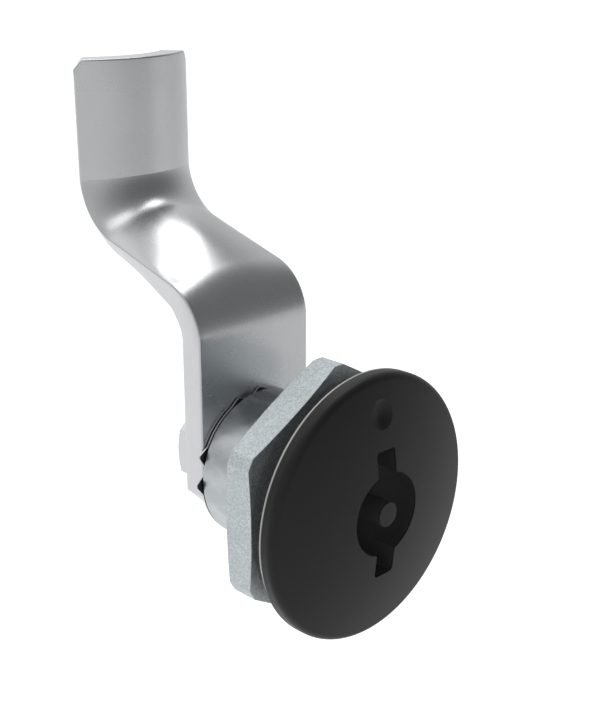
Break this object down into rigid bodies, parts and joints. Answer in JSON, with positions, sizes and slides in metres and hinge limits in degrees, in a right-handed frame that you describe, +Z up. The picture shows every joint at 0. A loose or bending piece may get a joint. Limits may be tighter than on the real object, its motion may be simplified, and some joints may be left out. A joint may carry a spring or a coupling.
{
  "type": "quarter-turn cam latch",
  "caption": "Quarter-turn cam latch: black domed key head on a threaded barrel with hex nut, toothed washer and a bent steel cam with a rolled tip.",
  "frame": {"origin": "on the barrel's axis, in the door's front face where the gasket lies on it", "axes": "+Y along the barrel, from the face disc to the inside of the door; +Z up along the closed cam; +X to the right in the view from the front"},
  "size_m": [0.0328, 0.047, 0.0652],
  "materials": {
    "black_coated_zinc": "fine matt powder coat",
    "bright_zinc": "smooth satin zinc die casting",
    "galvanised_steel": "mottled granular zinc coat",
    "black_spring_steel": "black oxide with bare edges",
    "stainless_steel": "satin",
    "plated_steel": "bright zinc plating",
    "rubber": "matt",
    "nylon": "smooth moulding"
  },
  "bodies": {
    "fixed": {"housing": "bright_zinc", "flange_gasket": "rubber", "hex_nut": "galvanised_steel", "thrust_washer": "nylon"},
    "rotor": {"rotor_head": "black_coated_zinc", "shaft_ring": "rubber", "toothed_washer": "black_spring_steel", "cam": "stainless_steel", "flat_washer": "plated_steel", "spring_washer": "plated_steel", "hex_screw": "plated_steel"}
  },
  "joints": [
    {"name": "cam_turn", "type": "hinge", "parent": "fixed", "child": "rotor", "pos_m": [0, 0, 0], "axis": [0, 1, 0], "range_deg": [0, 90]}
  ]
}
